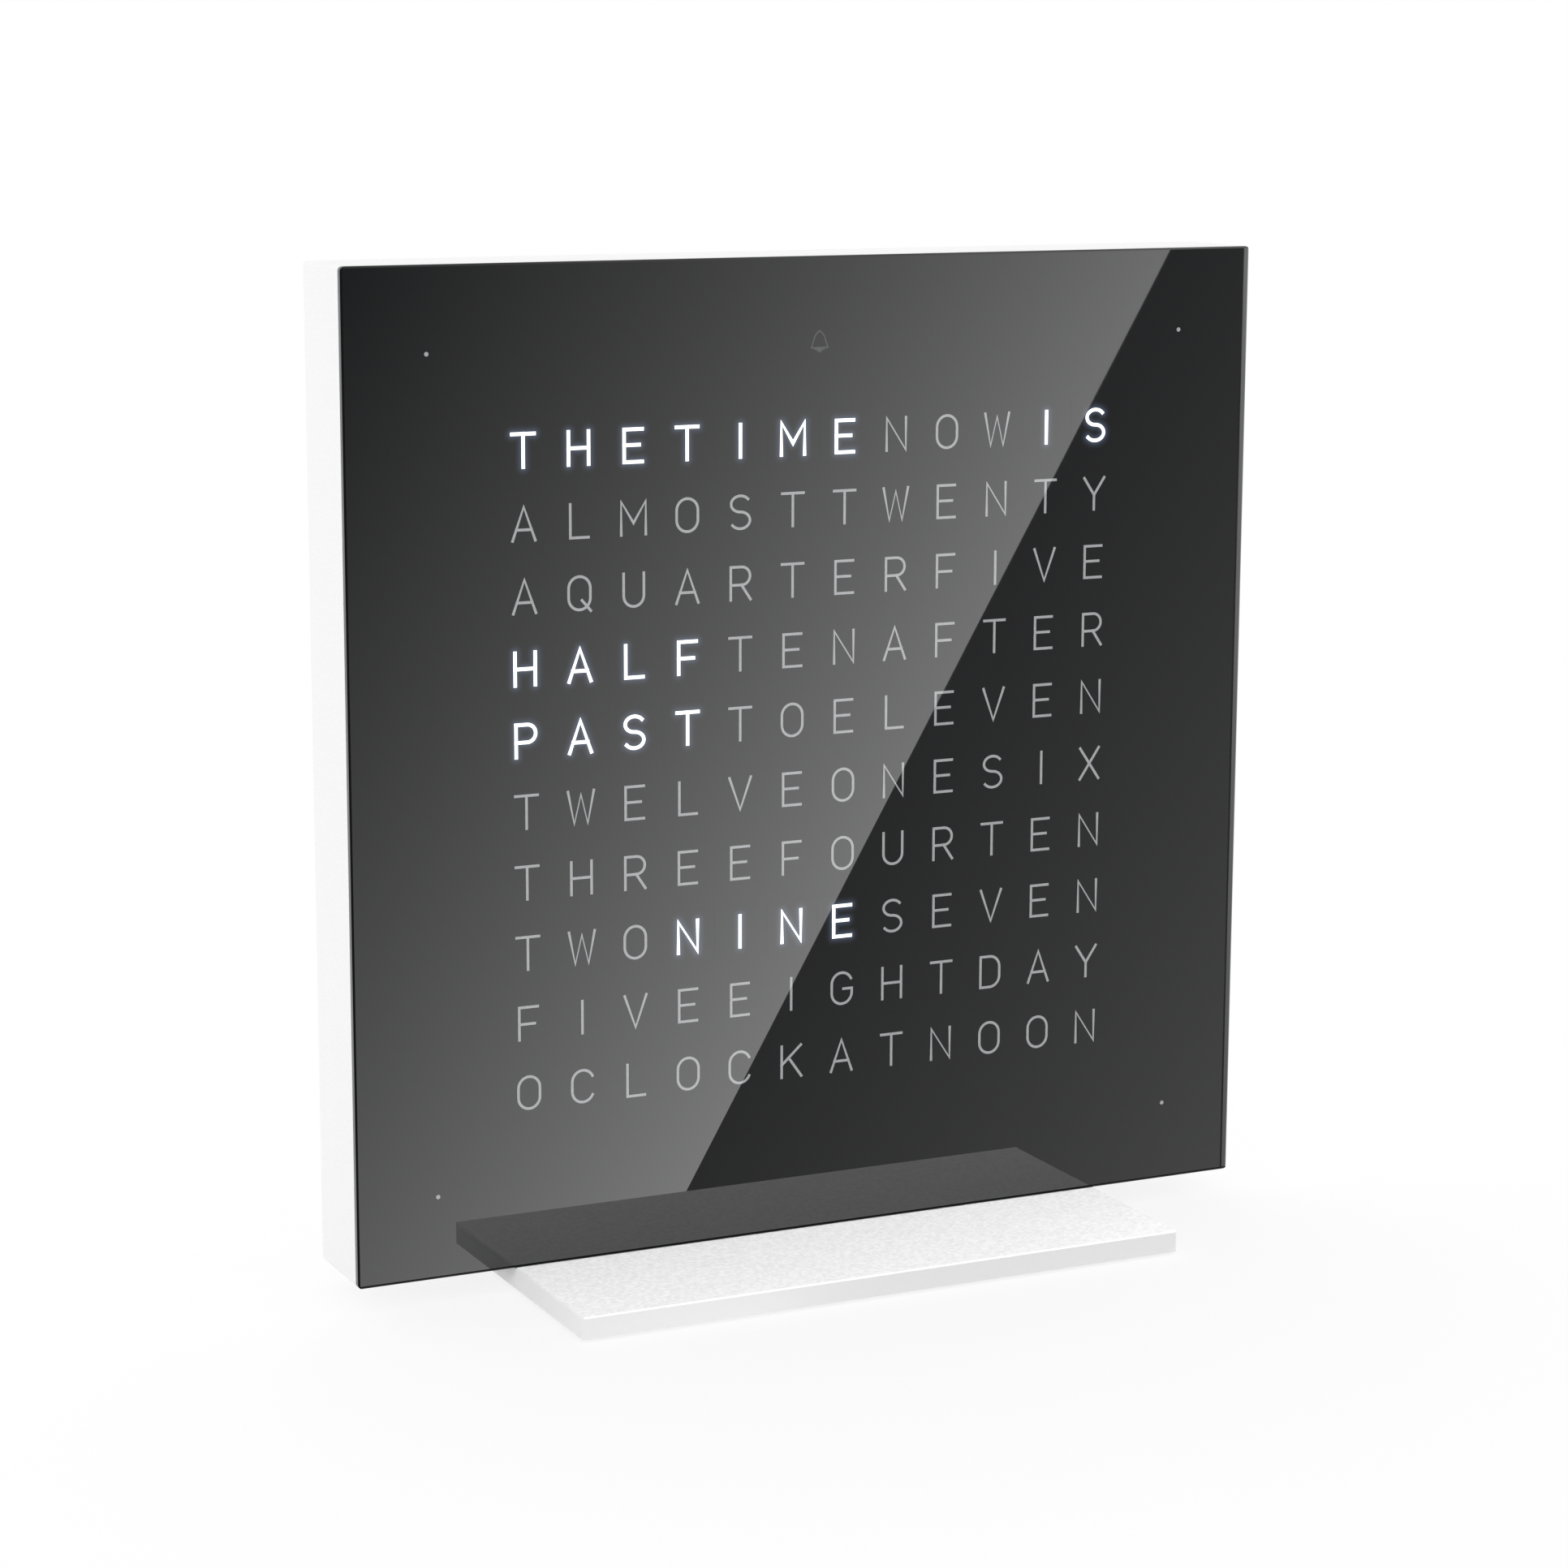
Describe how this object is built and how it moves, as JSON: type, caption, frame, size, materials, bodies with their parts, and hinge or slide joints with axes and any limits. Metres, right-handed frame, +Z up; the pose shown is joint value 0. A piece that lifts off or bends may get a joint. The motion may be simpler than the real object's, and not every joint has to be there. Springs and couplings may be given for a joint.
{
  "type": "word clock",
  "caption": "Square table clock with a gloss black front that pulls off, lit time words, a shallow white case and a flat metal foot.",
  "frame": {"origin": "on the table, in the middle of the clock's outline seen from above; the front face lies at Y 3.75 mm", "axes": "+Z up, +Y towards the back, +X to the right as the reader sees the face"},
  "size_m": [0.135, 0.039, 0.1384],
  "materials": {
    "black_acrylic": "polished black acrylic",
    "mask_film": "printed film",
    "magnet_nickel": "nickel-plated magnets",
    "white_abs": "satin moulded white",
    "opal_diffuser": "opal sheet",
    "grid_abs": "moulded white",
    "board_laminate": "green solder mask on glass laminate",
    "led_resin": "white package with yellow resin",
    "chip_epoxy": "black epoxy",
    "tinned_steel": "tinned steel",
    "tantalum_resin": "moulded resin",
    "key_abs": "satin light grey",
    "copper_foil": "bare copper",
    "polyimide_film": "amber film",
    "connector_nylon": "natural nylon",
    "zinc_screws": "zinc plated",
    "blasted_aluminium": "bead-blasted, clear anodised",
    "insert_brass": "turned brass",
    "pad_rubber": "matte silicone pads"
  },
  "bodies": {
    "case": {"case_frame": "white_abs", "rim_magnets": "magnet_nickel", "diffuser": "opal_diffuser", "light_grid": "grid_abs", "circuit_board": "board_laminate", "leds": "led_resin", "driver_chips": "chip_epoxy", "microcontroller": "chip_epoxy", "clock_crystal": "tinned_steel", "capacitor": "tantalum_resin", "coin_cell_holder": "chip_epoxy", "coin_cell": "tinned_steel", "alarm_sounder": "chip_epoxy", "power_socket": "tinned_steel", "key_switches": "chip_epoxy", "touch_strip": "copper_foil", "touch_cable": "polyimide_film", "cable_socket": "connector_nylon", "board_screws": "zinc_screws", "back_cover": "white_abs", "back_screws": "zinc_screws", "foot_plate": "blasted_aluminium", "foot_screws": "zinc_screws", "foot_inserts": "insert_brass", "foot_pads": "pad_rubber"},
    "front_cover": {"front_cover": "black_acrylic", "light_mask": "mask_film", "cover_magnets": "magnet_nickel"},
    "key_hours": {"key_hours": "key_abs", "plunger_hours": "chip_epoxy"},
    "key_minutes": {"key_minutes": "key_abs", "plunger_minutes": "chip_epoxy"},
    "key_alarm": {"key_alarm": "key_abs", "plunger_alarm": "chip_epoxy"},
    "key_colour": {"key_colour": "key_abs", "plunger_colour": "chip_epoxy"}
  },
  "joints": [
    {"name": "cover_pull", "type": "slide", "parent": "case", "child": "front_cover", "axis": [0, -1, 0], "range_m": [0, 0.025]},
    {"name": "press_hours", "type": "slide", "parent": "case", "child": "key_hours", "axis": [0, -1, 0], "range_m": [0, 0.0004], "stiffness_N_per_m": 400},
    {"name": "press_minutes", "type": "slide", "parent": "case", "child": "key_minutes", "axis": [0, -1, 0], "range_m": [0, 0.0004], "stiffness_N_per_m": 400},
    {"name": "press_alarm", "type": "slide", "parent": "case", "child": "key_alarm", "axis": [0, -1, 0], "range_m": [0, 0.0004], "stiffness_N_per_m": 400},
    {"name": "press_colour", "type": "slide", "parent": "case", "child": "key_colour", "axis": [0, -1, 0], "range_m": [0, 0.0004], "stiffness_N_per_m": 400}
  ]
}
